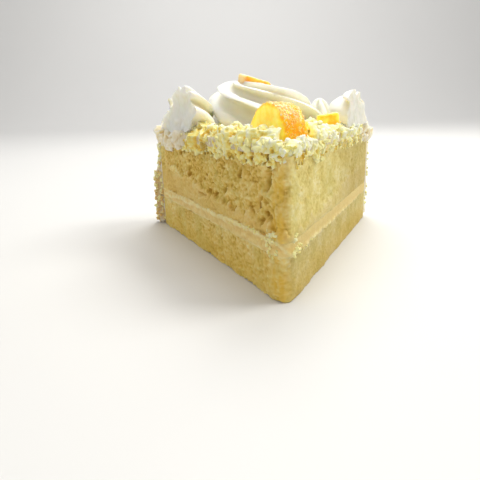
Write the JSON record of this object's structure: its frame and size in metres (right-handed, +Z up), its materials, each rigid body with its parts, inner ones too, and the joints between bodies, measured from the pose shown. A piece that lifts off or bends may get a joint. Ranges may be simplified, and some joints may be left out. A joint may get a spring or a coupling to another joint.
{
  "type": "layer cake slice",
  "caption": "Slice of white layer cake with a cream filling, a crumbed coat, piped cream swirls and sugared citrus jelly pieces.",
  "frame": {"origin": "middle of the foot of the slice's bounding box, on the surface that it stands on", "axes": "+Y from the tip of the slice to its outer side, +Z up, +X to the right as the slice is seen from its tip"},
  "size_m": [0.1024, 0.1144, 0.0663],
  "materials": {
    "sponge": "open, torn sponge crumb",
    "filling": "soft cream smeared by the knife",
    "coat": "cream coat covered with sponge crumbs",
    "cream": "smooth whipped cream",
    "jelly": "translucent citrus jelly with a sugared rind"
  },
  "bodies": {
    "root": {"sponge_lower": "sponge", "cream_filling": "filling", "sponge_upper": "sponge", "crumbed_coat": "coat", "swirl_middle": "cream", "swirl_left": "cream", "swirl_right": "cream", "jelly_front": "jelly", "jelly_right": "jelly", "jelly_top": "jelly"}
  },
  "joints": []
}
